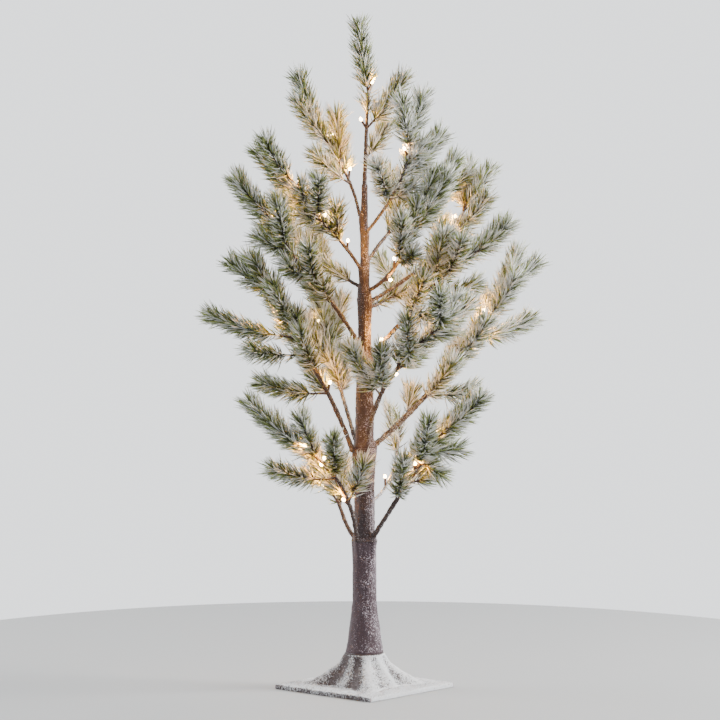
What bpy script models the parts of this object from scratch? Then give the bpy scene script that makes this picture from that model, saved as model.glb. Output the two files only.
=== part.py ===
"""Artificial tabletop tree, 0.91 m, with hinged twig branches, a lift-out trunk and a battery base.

Metres, +Z up. The underside of the base is at z = 0 and the trunk stands on the Z axis.
The corners of the square base plate point along +X, -X, +Y and -Y; the front is -Y.
Angles are in degrees: an azimuth is measured from +X towards +Y, a rise from level.
"""
import math

import bmesh
import bpy
import numpy as np
from mathutils import Matrix

# ---- driving dimensions ----
PLATE_SIDE = 0.173          # side of the square base plate
PLATE_H = 0.006             # plate thickness
WALL = 0.0024               # moulded wall of the base
SEAM_Z = 0.050              # where trunk skirt meets base
SEAM_R = 0.0253             # radius at that seam
FIT = 0.0004                # gap between parts that touch in the real tree
SLIDE_FIT = 0.0003          # pole in its socket
POLE_R = 0.0045             # steel pole
FORK_Z = 0.202              # first fork, top of the moulded skirt
THIN_Z = 0.540              # above this the pole steps down
POLE_TOP = 0.690
THIN_R = 0.0021             # upper pole
WIRE_R0, WIRE_R1 = 0.0012, 0.0008   # branch wire, root and tip
BALL_R = 0.0022             # bent root eye of a branch wire
ROOT_GAP = 0.0032           # trunk surface to centre of the root eye
BORE_GAP = 0.0003           # wire to needle pick
TAPE = 0.0011               # wall of the pick's tape
SPRAY_R = 0.0080            # solid core of one needle spray
COVER_T = 0.0020            # base cover
CELL_R, CELL_L = 0.00525, 0.0445    # AAA cell
CELL_GAP = 0.0005           # round each cell in its holder
HOLDER_Y = 0.0062           # near side of the battery holder
HOLDER_WALL, HOLDER_END = 0.0009, 0.0012    # holder sides; holder ends and roof
CONTACT_T = 0.0016          # spring contact
DOOR_LAP = 0.0007           # battery door beyond the holder's ends
DOOR_REACH = 0.0010         # hinge axis beyond the holder's far side
SCREW_RING = 0.041          # cover screws from the centre
BOSS_WALL = 0.0032          # round the pole socket
SKIRT_WALL = 0.0026         # moulded trunk skirt
WRAP_JOINTS = (0.330, 0.440)    # butt joints of the paper wraps
TRAY_Z = COVER_T + FIT      # floor of the battery holder
HOLDER_TOP = TRAY_Z + FIT + 2 * CELL_R + FIT + HOLDER_END
SOCKET_FOOT = HOLDER_TOP + 0.0003   # the pole socket stops above the holder
POLE_FOOT = SOCKET_FOOT + 0.0028    # foot of the pole inside the base
N_RING = 48                 # facets round the base
N_WIRE = 8                  # lengths along a branch
SHARP = math.radians(40)    # edges sharper than this stay hard

# trunk surface: height, radius
TRUNK = [(SEAM_Z, SEAM_R), (0.065, 0.0228), (0.083, 0.0204), (0.100, 0.0180), (0.120, 0.0160),
         (0.190, 0.0160), (FORK_Z + 0.001, 0.0174), (0.214, 0.0132), (0.334, 0.0130),
         (0.345, 0.0120), (0.395, 0.0115), (0.460, 0.0088), (THIN_Z - 0.010, 0.0080),
         (THIN_Z + 0.005, 0.0056), (POLE_TOP, 0.0034), (POLE_TOP + 0.130, 0.0015)]

# branch: root height, root azimuth, heading, rises (root, middle, tip), length,
#   sprays: station along the branch, azimuth, rise, length, bare share of the length
BRANCHES = {
    "low_left_back": (0.205, 130, 130, (40, 65, 40), 0.080,
                      [(1.00, 145, 40, 0.045, 0.1), (0.60, 105, 50, 0.045, 0.3)]),
    "low_left_front": (0.205, 235, 215, (85, 55, 30), 0.160,
                       [(1.00, 190, 40, 0.110, 0.15), (0.85, 230, 55, 0.080, 0.15),
                        (0.60, 205, 10, 0.105, 0.35), (0.35, 300, 55, 0.075, 0.3)]),
    "low_right_front": (0.210, 310, 325, (55, 55, 50), 0.185,
                        [(1.00, 330, 40, 0.080, 0.1), (0.65, 290, 60, 0.070, 0.2),
                         (0.70, 345, -30, 0.040, 0.3), (0.80, 355, 5, 0.050, 0.3),
                         (0.50, 350, 20, 0.040, 0.4)]),
    "low_right_back": (0.255, 50, 50, (15, 50, 85), 0.105,
                       [(1.00, 80, 65, 0.045, 0.1), (0.60, 20, 35, 0.050, 0.35)]),
    "mid_left_front": (0.325, 190, 190, (70, 60, 60), 0.250,
                       [(1.00, 180, 35, 0.070, 0.1), (0.70, 185, 15, 0.130, 0.3),
                        (0.35, 195, 10, 0.105, 0.3), (0.60, 210, 5, 0.095, 0.45),
                        (0.65, 250, 60, 0.060, 0.3), (1.00, 210, 60, 0.055, 0.1)]),
    "mid_left_back": (0.340, 140, 140, (70, 70, 75), 0.165,
                      [(1.00, 125, 65, 0.050, 0.1), (0.75, 165, 55, 0.060, 0.25),
                       (0.50, 110, 50, 0.060, 0.3), (0.80, 65, 55, 0.085, 0.15)]),
    "mid_front": (0.340, 280, 315, (80, 45, 30), 0.230,
                  [(1.00, 320, 70, 0.040, 0.1), (0.80, 350, 20, 0.045, 0.3),
                   (0.60, 275, 20, 0.045, 0.3), (0.35, 245, 40, 0.055, 0.35),
                   (0.50, 285, 60, 0.045, 0.35), (0.30, 220, 50, 0.095, 0.15)]),
    "mid_right_long": (0.335, 5, 5, (40, 50, 60), 0.280,
                       [(1.00, 10, 35, 0.060, 0.1), (0.90, 350, 65, 0.060, 0.2),
                        (0.70, 20, 15, 0.100, 0.25), (0.50, 330, 60, 0.045, 0.3),
                        (0.35, 350, 5, 0.070, 0.4), (0.20, 60, 60, 0.045, 0.4)]),
    "upper_right_front": (0.460, 340, 340, (45, 50, 30), 0.200,
                          [(1.00, 340, 40, 0.065, 0.1), (0.50, 355, 15, 0.085, 0.25),
                           (0.60, 310, 70, 0.075, 0.3), (0.40, 300, -10, 0.050, 0.35),
                           (0.60, 290, 60, 0.095, 0.15)]),
    "upper_right_back": (0.530, 25, 25, (25, 35, 75), 0.210,
                         [(1.00, 30, 45, 0.060, 0.1), (0.90, 5, 60, 0.065, 0.2),
                          (0.60, 55, 30, 0.055, 0.3)]),
    "upper_right_inner": (0.545, 320, 320, (25, 65, 65), 0.170,
                          [(1.00, 320, 65, 0.035, 0.1), (0.35, 300, 20, 0.050, 0.3),
                           (0.65, 285, 60, 0.050, 0.3), (0.65, 335, 55, 0.100, 0.1)]),
    "top_right_back": (0.585, 45, 45, (45, 30, 15), 0.180,
                       [(1.00, 35, 35, 0.035, 0.1), (0.65, 60, 10, 0.045, 0.3),
                        (0.40, 100, 65, 0.085, 0.3), (0.30, 315, 65, 0.070, 0.1)]),
    "top_right_front": (0.625, 300, 300, (35, 45, 80), 0.175,
                        [(1.00, 310, 70, 0.060, 0.1), (0.75, 335, 50, 0.045, 0.3),
                         (0.40, 340, 30, 0.045, 0.3)]),
    "upper_left_back": (0.550, 150, 150, (25, 35, 65), 0.150,
                        [(1.00, 150, 60, 0.035, 0.1), (0.70, 170, 25, 0.040, 0.3),
                         (0.45, 125, 40, 0.050, 0.3)]),
    "upper_left_front": (0.460, 260, 205, (60, 45, 60), 0.245,
                         [(1.00, 200, 45, 0.065, 0.1), (0.75, 185, 20, 0.050, 0.3),
                          (0.55, 225, 20, 0.055, 0.3), (0.35, 240, 45, 0.045, 0.35)]),
    "top_left_front": (0.575, 220, 220, (50, 35, 55), 0.175,
                       [(1.00, 225, 45, 0.080, 0.15), (0.75, 250, 40, 0.045, 0.3),
                        (0.30, 255, 60, 0.060, 0.35), (0.55, 195, 20, 0.040, 0.3)]),
    "top_left_back": (0.645, 155, 155, (80, 60, 60), 0.130,
                      [(1.00, 160, 65, 0.085, 0.15), (0.55, 110, 75, 0.080, 0.35),
                       (0.35, 190, 40, 0.070, 0.25)]),
    "mid_right_back": (0.520, 60, 60, (5, 15, 20), 0.125,
                       [(1.00, 60, 25, 0.040, 0.1), (0.60, 85, 20, 0.050, 0.3)]),
}
DRAWN_FORK, DRAWN_TOP = 0.202, 0.690    # fork and pole top that the branches were drawn for
CROWN = (POLE_TOP - FORK_Z) / (DRAWN_TOP - DRAWN_FORK)
LEADER = (POLE_TOP + 0.0005, 88, 0.124,
          [(1.00, 180, 82, 0.096, 0.05), (0.60, 350, 54, 0.092, 0.2), (0.28, 25, 54, 0.064, 0.25)])

# fill sprays between the drawn ones
FILL_EVERY = 0.045          # branch length for each of them
FILL_FROM = 0.25            # station of the lowest
FILL_TURN = 50              # away from the branch, to its left and right
FILL_LENGTHS = (0.085, 0.065, 0.045)    # the longest that has room is taken
FILL_BARE = 0.15
TRIMS = (1.0, 0.85, 0.70)   # a drawn spray is cut back where it has no room
ROOM = 0.0008               # least gap to a neighbour
NEIGHBOUR = 0.12            # pieces further apart than this can't meet


# ---- helpers ----
def clear_scene():
    for ob in list(bpy.data.objects):
        bpy.data.objects.remove(ob, do_unlink=True)


def material(name, colour, metallic=0.0, rough=0.6):
    mat = bpy.data.materials.new(name)
    mat.use_nodes = True
    bsdf = mat.node_tree.nodes["Principled BSDF"]
    bsdf.inputs["Base Color"].default_value = (*colour, 1)
    bsdf.inputs["Metallic"].default_value = metallic
    bsdf.inputs["Roughness"].default_value = rough
    return mat


def add(name, verts, faces, mat=None):
    """A mesh object with its faces turned outwards, smooth between flat neighbours."""
    me = bpy.data.meshes.new(name)
    me.from_pydata([tuple(v) for v in verts], [], faces)
    bm = bmesh.new()
    bm.from_mesh(me)
    bmesh.ops.recalc_face_normals(bm, faces=bm.faces)
    bm.to_mesh(me)
    bm.free()
    me.shade_smooth()
    me.set_sharp_from_angle(angle=SHARP)
    ob = bpy.data.objects.new(name, me)
    bpy.context.scene.collection.objects.link(ob)
    if mat:
        me.materials.append(mat)
    return ob


def pivot_at(ob, point):
    """Put the object's origin on its joint axis without moving its surface."""
    ob.data.transform(Matrix.Translation([-c for c in point]))
    ob.location = point


def boolean(target, cutter, operation):
    cutter.hide_render = True
    cutter.display_type = 'WIRE'
    mod = target.modifiers.new(operation.lower() + "_" + cutter.name, 'BOOLEAN')
    mod.operation = operation
    mod.solver = 'EXACT'
    mod.object = cutter


def box(name, x0, x1, y0, y1, z0, z1, mat=None):
    v = [(x, y, z) for z in (z0, z1) for y in (y0, y1) for x in (x0, x1)]
    f = [(0, 2, 3, 1), (4, 5, 7, 6), (0, 1, 5, 4), (1, 3, 7, 5), (3, 2, 6, 7), (2, 0, 4, 6)]
    return add(name, v, f, mat)


def rings(name, loops, mat=None, closed=False):
    """Skin a list of equal loops; capped at both ends, or joined end to start."""
    n = len(loops[0])
    verts = [p for loop in loops for p in loop]
    faces = []
    count = len(loops)
    for i in range(count if closed else count - 1):
        a, b = i * n, ((i + 1) % count) * n
        faces += [(a + j, a + (j + 1) % n, b + (j + 1) % n, b + j) for j in range(n)]
    if not closed:
        faces += [tuple(range(n)), tuple(range((count - 1) * n, count * n))]
    return add(name, verts, faces, mat)


def lathe(name, profile, n, mat=None, closed=False, centre=(0.0, 0.0)):
    """Turn (radius, height) points about the Z axis."""
    ang = np.arange(n) * 2 * math.pi / n
    loops = [[(centre[0] + r * math.cos(a), centre[1] + r * math.sin(a), z) for a in ang]
             for r, z in profile]
    return rings(name, loops, mat, closed)


def lying_cylinder(name, r, x0, x1, y, z, n, mat=None):
    ang = np.arange(n) * 2 * math.pi / n
    loops = [[(x, y + r * math.cos(a), z + r * math.sin(a)) for a in ang] for x in (x0, x1)]
    return rings(name, loops, mat)


def trunk_radius(z):
    return float(np.interp(z, [p[0] for p in TRUNK], [p[1] for p in TRUNK]))


def unit(azimuth, rise):
    a, e = math.radians(azimuth), math.radians(rise)
    return np.array([math.cos(e) * math.cos(a), math.cos(e) * math.sin(a), math.sin(e)])


def branch_path(root_z, root_az, heading, rises, length):
    """Centre line in a vertical plane whose rise runs through the three given values.

    Root heights and lengths follow the fork and the pole top if those move.
    """
    a = math.radians(root_az)
    root_z = FORK_Z + (root_z - DRAWN_FORK) * CROWN
    length = length * CROWN
    r = trunk_radius(root_z) + ROOT_GAP
    p = np.array([r * math.cos(a), r * math.sin(a), root_z])
    pts = [p]
    for i in range(N_WIRE):
        rise = float(np.interp((i + 0.5) / N_WIRE, (0, 0.5, 1), rises))
        p = p + unit(heading, rise) * (length / N_WIRE)
        pts.append(p)
    return pts


def sweep(name, pts, radii, side, mat=None, n=6):
    """Tube along points lying in the plane whose normal is `side`."""
    loops = []
    for i, p in enumerate(pts):
        t = pts[min(i + 1, len(pts) - 1)] - pts[max(i - 1, 0)]
        t = t / np.linalg.norm(t)
        u = np.cross(t, side)
        ang = np.arange(n) * 2 * math.pi / n
        loops.append([tuple(p + radii[i] * (math.cos(a) * side + math.sin(a) * u)) for a in ang])
    return rings(name, loops, mat)


def spray(name, start, azimuth, rise, length, bare):
    """One needle spray: a thin twig, then the solid core of the needles."""
    d = unit(azimuth, rise)
    side = unit(azimuth + 90, 0)
    length = length * CROWN
    core = SPRAY_R * CROWN
    body = length * (1 - bare)
    at = [0.0, 0.006, length * bare + 0.008, length * bare + 0.008 + body * 0.22,
          length - body * 0.28, length]
    r = [0.00035, 0.0011, 0.0013, core, core * 0.72, 0.0010]
    return sweep(name, [start + d * s for s in at], r, side)


def gap(a, b):
    """Distance between two round-ended straight pieces, from points spread along both."""
    t = np.linspace(0, 1, 25)[:, None]
    along_a, along_b = a[0] + (a[1] - a[0]) * t, b[0] + (b[1] - b[0]) * t
    return np.min(np.linalg.norm(along_a[:, None] - along_b, axis=2)) - a[2] - b[2]


def has_room(pieces, others):
    near = [(p, q) for p in pieces for q in others
            if np.linalg.norm(p[0] + p[1] - q[0] - q[1]) / 2 < NEIGHBOUR]
    return all(gap(p, q) > ROOM for p, q in near)


def run_of(points, radius):
    return [(p, q, radius) for p, q in zip(points[:-1], points[1:])]


def spray_pieces(line, station, azimuth, rise, length, bare):
    """Stalk, core and tip of a spray, each a straight piece with a radius."""
    k = station * N_WIRE
    lo = min(int(k), N_WIRE - 1)
    start = line[lo] + (line[lo + 1] - line[lo]) * (k - lo)
    d = unit(azimuth, rise)
    length = length * CROWN
    core = SPRAY_R * CROWN
    body = length * (1 - bare)
    waist = start + d * (length * bare + 0.006)
    shoulder = start + d * (length - body * 0.29)
    return [(start + d * 0.004, waist, 0.0014), (waist, shoulder, core),
            (shoulder, start + d * length, core * 0.75)]


def grown_sprays(lines, lead):
    """Sprays of every branch: the drawn ones, then fill sprays left and right where there's room."""
    wires = {name: run_of(line, WIRE_R0 + BORE_GAP + TAPE) for name, line in lines.items()}
    heights = np.linspace(FORK_Z, POLE_TOP, 49)
    fixed = [piece for z0, z1 in zip(heights[:-1], heights[1:])
             for piece in run_of([np.array([0, 0, z0]), np.array([0, 0, z1])], trunk_radius(z0))]
    fixed += run_of(lead, WIRE_R0 + BORE_GAP + TAPE)
    for row in LEADER[3]:
        fixed += spray_pieces(lead, *row)
    taken = {name: [] for name in lines}
    grown = {name: [] for name in lines}

    def try_row(name, row):
        pieces = spray_pieces(lines[name], *row)
        others = fixed + wires[name][:1]
        for other in lines:
            if other != name:
                others = others + wires[other] + taken[other]
        if not has_room(pieces, others):
            return False
        taken[name] += pieces
        grown[name].append(row)
        return True

    for name, branch in BRANCHES.items():
        for station, azimuth, rise, length, bare in branch[5]:
            any(try_row(name, (station, azimuth, rise, length * trim, bare)) for trim in TRIMS)
    for name, (_, _, heading, rises, length, _) in BRANCHES.items():
        count = int(length / FILL_EVERY)
        for i in range(count):
            station = FILL_FROM + (1 - FILL_FROM) * (i + 0.5) / count
            rise = 20 + float(np.interp(station, (0, 0.5, 1), rises)) / 2
            turns = (FILL_TURN, -FILL_TURN) if i % 2 else (-FILL_TURN, FILL_TURN)
            any(try_row(name, (station, heading + turn, rise, size, FILL_BARE))
                for size in FILL_LENGTHS for turn in turns)
    return grown


def pick(name, pts, heading, sprays, wire_r, mat):
    """Needle pick: tape wrapped on the wire, its sprays, and the bore left by the wire."""
    side = unit(heading + 90, 0)
    first = max(1, int(min(s[0] for s in sprays) * N_WIRE) - 1)
    end = (pts[-1] - pts[-2]) / np.linalg.norm(pts[-1] - pts[-2])
    grown = [r + BORE_GAP for r in wire_r]
    body = sweep(name, pts[first:] + [pts[-1] + end * 0.005],
                 [(r + TAPE) / math.cos(math.pi / 6) for r in grown[first:]] + [0.0022], side, mat)
    for i, (station, azimuth, rise, length, bare) in enumerate(sprays):
        k = station * N_WIRE
        lo = min(int(k), N_WIRE - 1)
        p = pts[lo] + (pts[lo + 1] - pts[lo]) * (k - lo)
        d = unit(azimuth, rise)
        if station >= 1.0:
            start = p + end * 0.0030
        else:
            t = (pts[lo + 1] - pts[lo]) / np.linalg.norm(pts[lo + 1] - pts[lo])
            out = d - t * float(d @ t)
            r = float(np.interp(station, (0, 1), (wire_r[0], wire_r[-1])))
            start = p + out / np.linalg.norm(out) * (r + BORE_GAP + TAPE * 0.7)
        boolean(body, spray(f"{name}_cutter_{i}", start, azimuth, rise, length, bare), 'UNION')
    d0 = (pts[first] - pts[first - 1]) / np.linalg.norm(pts[first] - pts[first - 1])
    bore = sweep(f"{name}_bore", [pts[first] - d0 * 0.004] + pts[first:] + [pts[-1] + end * BORE_GAP],
                 [r / math.cos(math.pi / 6) for r in grown[first:first + 1] + grown[first:]
                  + grown[-1:]], side)
    boolean(body, bore, 'DIFFERENCE')
    return body


clear_scene()
FROSTED = material("frosted_plastic", (0.55, 0.55, 0.58), 0, 0.9)
BLACK = material("black_plastic", (0.03, 0.03, 0.03), 0, 0.5)
STEEL = material("steel", (0.6, 0.6, 0.6), 1, 0.4)
BARK = material("bark_paper", (0.16, 0.10, 0.09), 0, 0.9)
NEEDLE = material("needles", (0.33, 0.36, 0.28), 0, 0.9)
BOARD = material("circuit_board", (0.05, 0.22, 0.10), 0, 0.5)
CELL = material("cell_sleeve", (0.12, 0.12, 0.13), 0.2, 0.4)
BRASS = material("plug_brass", (0.75, 0.6, 0.3), 1, 0.3)

# ---- base shell: square plate and fluted root flare in one moulding ----
HALF = PLATE_SIDE / 2
ANG = np.arange(N_RING) * 2 * math.pi / N_RING


def square_loop(half, z):
    """Square with its corners on the axes."""
    q = np.abs(np.cos(ANG)) + np.abs(np.sin(ANG))
    r = half * math.sqrt(2) / q
    return [(r[i] * math.cos(a), r[i] * math.sin(a), z) for i, a in enumerate(ANG)]


def circle(r, z):
    return [(r * math.cos(a), r * math.sin(a), z) for a in ANG]


def flare_loop(corner, middle, flute, z, inset=0.0):
    """Root flare: far out on the corner ridges, near in mid-side, fluted between them."""
    c = np.cos(2 * ANG) ** 2
    r = middle + (corner - middle) * c ** 2 - flute * np.sin(4 * ANG) ** 2 - inset
    return [(r[i] * math.cos(a), r[i] * math.sin(a), z) for i, a in enumerate(ANG)]


# the battery holder's outline, which the flare has to clear
inner_y = HOLDER_Y + HOLDER_WALL + CELL_GAP + CELL_R
outer_y = inner_y + 2 * CELL_R + CELL_GAP
holder_far = outer_y + CELL_R + CELL_GAP + HOLDER_WALL
contact_in = CELL_L / 2 + CELL_GAP
room_half = contact_in + CONTACT_T + FIT
holder_half = room_half + HOLDER_END
ROOF_GAP = 0.0022           # flare face above the same face inside it

# flare level: share of the spread from seam to foot, flute depth, share of the climb
LEVELS = [(1.0, 0.0035, 0.005), (0.71, 0.0045, 0.205), (0.40, 0.0035, 0.443), (0.16, 0.0020, 0.682),
          (0.01, 0.0, 0.955)]
over_holder = float(np.interp((HOLDER_TOP + ROOF_GAP - PLATE_H) / (SEAM_Z - PLATE_H),
                              [level[2] for level in LEVELS], [level[0] for level in LEVELS]))
holder_reach = math.hypot(holder_half, holder_far) + WALL + 0.0014
FOOT_CORNER = HALF * 0.925
FOOT_MIDDLE = max(HALF * 0.624, SEAM_R + (holder_reach - SEAM_R) / over_holder)
# flare loop: corner radius, mid-side radius, flute depth, height
FLARE = [(SEAM_R + share * (FOOT_CORNER - SEAM_R), SEAM_R + share * (FOOT_MIDDLE - SEAM_R), flute,
          PLATE_H + climb * (SEAM_Z - PLATE_H)) for share, flute, climb in LEVELS]
SOCKET_R = POLE_R + SLIDE_FIT
BOSS_R = SOCKET_R + BOSS_WALL
NECK_Z = SEAM_Z - WALL - 0.002      # underside of the socket's collar
outer = [square_loop(HALF, 0.0), square_loop(HALF, PLATE_H - 0.0008),
         square_loop(HALF - 0.0008, PLATE_H)]
outer += [flare_loop(c, m, f, z) for c, m, f, z in FLARE]
outer += [circle(SEAM_R, SEAM_Z), circle(SOCKET_R, SEAM_Z), circle(SOCKET_R, SOCKET_FOOT),
          circle(BOSS_R, SOCKET_FOOT), circle(BOSS_R, NECK_Z), circle(SEAM_R - WALL, NECK_Z)]
outer += [flare_loop(c, m, f, z - ROOF_GAP, WALL) for c, m, f, z in FLARE[-2:0:-1]]
outer += [flare_loop(FOOT_CORNER - 0.0030, FOOT_MIDDLE - 0.0025, FLARE[0][2], PLATE_H - WALL),
          square_loop(HALF - WALL, PLATE_H - WALL), square_loop(HALF - WALL, 0.0)]
base_shell = rings("base_shell", outer, FROSTED, closed=True)
SCREWS = [(SCREW_RING, 0), (-SCREW_RING, 0)]
SCREW_BOSS_R = 0.0032
SCREW_HOLE_R, SCREW_HOLE_TOP = 0.0015, 0.0110
BOSS_TOP = float(np.interp(SCREW_RING + SCREW_BOSS_R, [level[0] for level in FLARE[::-1]],
                           [level[3] for level in FLARE[::-1]])) - 0.0009
for i, c in enumerate(SCREWS):
    boolean(base_shell, lathe(f"boss_{i}", [(SCREW_BOSS_R, COVER_T + FIT), (SCREW_BOSS_R, BOSS_TOP)],
                              12, centre=c), 'UNION')
    boolean(base_shell, lathe(f"boss_hole_{i}", [(SCREW_HOLE_R, 0.0), (SCREW_HOLE_R, SCREW_HOLE_TOP)],
                              12, centre=c), 'DIFFERENCE')

# ---- base cover, battery door, screws ----
cover_half = HALF - WALL - FIT
base_cover = rings("base_cover", [square_loop(cover_half, 0.0), square_loop(cover_half, COVER_T)],
                   BLACK)
door_half = holder_half + DOOR_LAP
door_near = HOLDER_Y + 0.0003
hinge_y = holder_far + DOOR_REACH
boolean(base_cover, box("door_opening", -door_half - FIT, door_half + FIT, door_near - FIT,
                        hinge_y + COVER_T / 2 + FIT, -0.001, COVER_T + 0.001), 'DIFFERENCE')
SLOT_Y = -0.020
SLOT_HALF, SLOT_W = 0.0045, 0.0018
boolean(base_cover, box("switch_slot", -SLOT_HALF, SLOT_HALF, SLOT_Y - SLOT_W, SLOT_Y + SLOT_W,
                        -0.001, COVER_T + 0.001), 'DIFFERENCE')
for i, c in enumerate(SCREWS):
    boolean(base_cover, lathe(f"cover_hole_{i}", [(0.0031, -0.001), (0.0031, 0.0009),
                                                  (0.0017, 0.0018), (0.0017, 0.003)], 12,
                              centre=c), 'DIFFERENCE')
    lathe(f"cover_screw_{i + 1}", [(0.0027, 0.0002), (0.0027, 0.0006), (0.0012, 0.0016),
                                   (0.0012, 0.0098)], 12, STEEL, centre=c)

edge = [(hinge_y + COVER_T / 2 * math.sin(a), COVER_T / 2 - COVER_T / 2 * math.cos(a))
        for a in np.linspace(0, math.pi, 7)]
door_loop = [(door_near, 0.0)] + edge + [(door_near, COVER_T)]
battery_door = rings("battery_door", [[(x, y, z) for y, z in door_loop]
                                      for x in (-door_half, door_half)], BLACK)
pivot_at(battery_door, (0.0, hinge_y, COVER_T / 2))

# ---- battery box, cells, contacts ----
cell_z = TRAY_Z + FIT + CELL_R
roof_z = HOLDER_TOP - HOLDER_END
battery_holder = box("battery_holder", -holder_half, holder_half, HOLDER_Y, holder_far, TRAY_Z,
                     HOLDER_TOP, BLACK)
boolean(battery_holder, box("holder_inside", -room_half, room_half, HOLDER_Y + HOLDER_WALL,
                            holder_far - HOLDER_WALL, 0.0, roof_z), 'DIFFERENCE')
for name, y in (("battery_cell_inner", inner_y), ("battery_cell_outer", outer_y)):
    lying_cylinder(name, CELL_R, -CELL_L / 2, CELL_L / 2, y, cell_z, 16, CELL)
for name, s in (("left_contact", -1), ("right_contact", 1)):
    xa, xb = sorted((s * contact_in, s * (contact_in + CONTACT_T)))
    box(name, xa, xb, HOLDER_Y + 2 * HOLDER_WALL, holder_far - 2 * HOLDER_WALL, TRAY_Z + 0.0015,
        roof_z - 0.0012, STEEL)

# ---- ballast, timer board, switch, power jack ----
ballast_half = HALF - WALL - 0.0012
ballast_z = COVER_T + 0.0003
BALLAST_T = 0.0010
ballast_hole = max(math.hypot(holder_half, holder_far), SCREW_RING + SCREW_BOSS_R) + 0.0020
rings("ballast_plate", [square_loop(ballast_half, ballast_z),
                        square_loop(ballast_half, ballast_z + BALLAST_T),
                        circle(ballast_hole, ballast_z + BALLAST_T), circle(ballast_hole, ballast_z)],
      STEEL, closed=True)
BOARD_Z, BOARD_TOP = 0.0050, 0.0062
box("timer_board", -0.0150, 0.0150, -0.0300, HOLDER_Y - 0.0010, BOARD_Z, BOARD_TOP, BOARD)
box("switch_body", -SLOT_HALF, SLOT_HALF, SLOT_Y - 0.0025, SLOT_Y + 0.0025, COVER_T + 0.0009,
    BOARD_Z - 0.0003, BLACK)
KNOB_HALF = 0.0012
slider = box("switch_slider", -KNOB_HALF, KNOB_HALF, SLOT_Y - KNOB_HALF, SLOT_Y + KNOB_HALF, 0.0005,
             COVER_T + 0.0006, FROSTED)
pivot_at(slider, (0.0, SLOT_Y, 0.0005))
JACK_R, JACK_TOP, PIN_R = POLE_R - 0.0005, SOCKET_FOOT - 0.0006, 0.0012
lathe("power_jack", [(JACK_R, BOARD_TOP + 0.0003), (JACK_R, JACK_TOP), (PIN_R + FIT, JACK_TOP),
                     (PIN_R + FIT, 0.0080), (0.0008, 0.0072), (0.0008, BOARD_TOP + 0.0003)],
      16, BRASS, closed=True)

# ---- trunk: steel pole with plug, moulded skirt, paper wraps ----
lathe("trunk_pole", [(POLE_R, POLE_FOOT), (POLE_R, THIN_Z), (THIN_R, THIN_Z + 0.002),
                     (THIN_R, POLE_TOP - 0.002)], 16, STEEL)
lathe("power_plug", [(PIN_R, 0.0090), (PIN_R, JACK_TOP + 0.0003), (POLE_R - FIT, JACK_TOP + 0.0007),
                     (POLE_R - FIT, POLE_FOOT - SLIDE_FIT)], 16, BRASS)
BORE = POLE_R + SLIDE_FIT
BAND_Z = 0.152              # raised crease round the skirt
SKIRT_FLOOR, SKIRT_ROOF = SEAM_Z + 0.004, FORK_Z - 0.010    # of its inner hollow
skirt_face = [(SEAM_R, SEAM_Z + FIT)]
skirt_face += [(r, z) for z, r in TRUNK if SEAM_Z < z < BAND_Z]
skirt_face += [(trunk_radius(BAND_Z) + bump, BAND_Z + step)
               for bump, step in ((-0.0002, -0.002), (0.0006, 0.0), (-0.0002, 0.003))]
skirt_face += [(r, z) for z, r in TRUNK if BAND_Z < z < FORK_Z] + [(trunk_radius(FORK_Z), FORK_Z)]
hollow = [(trunk_radius(z) - SKIRT_WALL, z)
          for z in (SKIRT_ROOF - 0.002, 0.120, 0.100, 0.065, SKIRT_FLOOR)]
lathe("trunk_skirt", skirt_face + [(BORE, FORK_Z), (BORE, SKIRT_ROOF)] + hollow
      + [(BORE, SKIRT_FLOOR), (BORE, SEAM_Z + FIT)], 24, FROSTED, closed=True)


def wrap(name, z0, z1, bore):
    """Paper wrap following the trunk surface between two heights."""
    heights = [z0] + [z for z, _ in TRUNK if z0 + 0.004 < z < z1 - 0.004] + [z1]
    prof = [(trunk_radius(z), z) for z in heights]
    lathe(name, prof + [(bore, z1), (bore, z0)], 16, BARK, closed=True)


wrap("lower_trunk_wrap", FORK_Z + FIT, WRAP_JOINTS[0], BORE)
wrap("middle_trunk_wrap", WRAP_JOINTS[0] + FIT, WRAP_JOINTS[1], BORE)
wrap("upper_trunk_wrap", WRAP_JOINTS[1] + FIT, THIN_Z - 0.004, BORE)
wrap("top_trunk_wrap", THIN_Z + 0.005, POLE_TOP - 0.002, THIN_R + SLIDE_FIT)

# ---- branches: a wire with its root eye, and a needle pick on each ----
lead_z, lead_rise, lead_len, lead_sprays = LEADER
lead = [np.array([0.0, 0.0, lead_z]) + unit(0, lead_rise) * lead_len * CROWN * i / N_WIRE
        for i in range(N_WIRE + 1)]
wire_r = list(np.linspace(WIRE_R0, WIRE_R1, N_WIRE + 1))
LINES = {name: branch_path(*branch[:5]) for name, branch in BRANCHES.items()}
for name, sprays in grown_sprays(LINES, lead).items():
    line, heading = LINES[name], BRANCHES[name][2]
    side = unit(heading + 90, 0)
    first = (line[1] - line[0]) / np.linalg.norm(line[1] - line[0])
    eye = [line[0] - first * BALL_R, line[0] - first * BALL_R * 0.55, line[0] + first * BALL_R * 0.45]
    wire = sweep(f"{name}_wire", eye + line[1:], [BALL_R * 0.4, BALL_R, BALL_R] + wire_r[1:],
                 side, BARK)
    pivot_at(wire, line[0])
    pivot_at(pick(f"{name}_needles", line, heading, sprays, wire_r, NEEDLE), line[0])

# ---- leader at the top ----
sweep("leader_wire", lead, wire_r, unit(90, 0), BARK)
pick("leader_needles", lead, 0, lead_sprays, wire_r, NEEDLE)
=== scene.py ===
"""Looks of the lit tabletop tree: flocked base and trunk, bark-bound branches, needles and lights."""
import math

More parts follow.
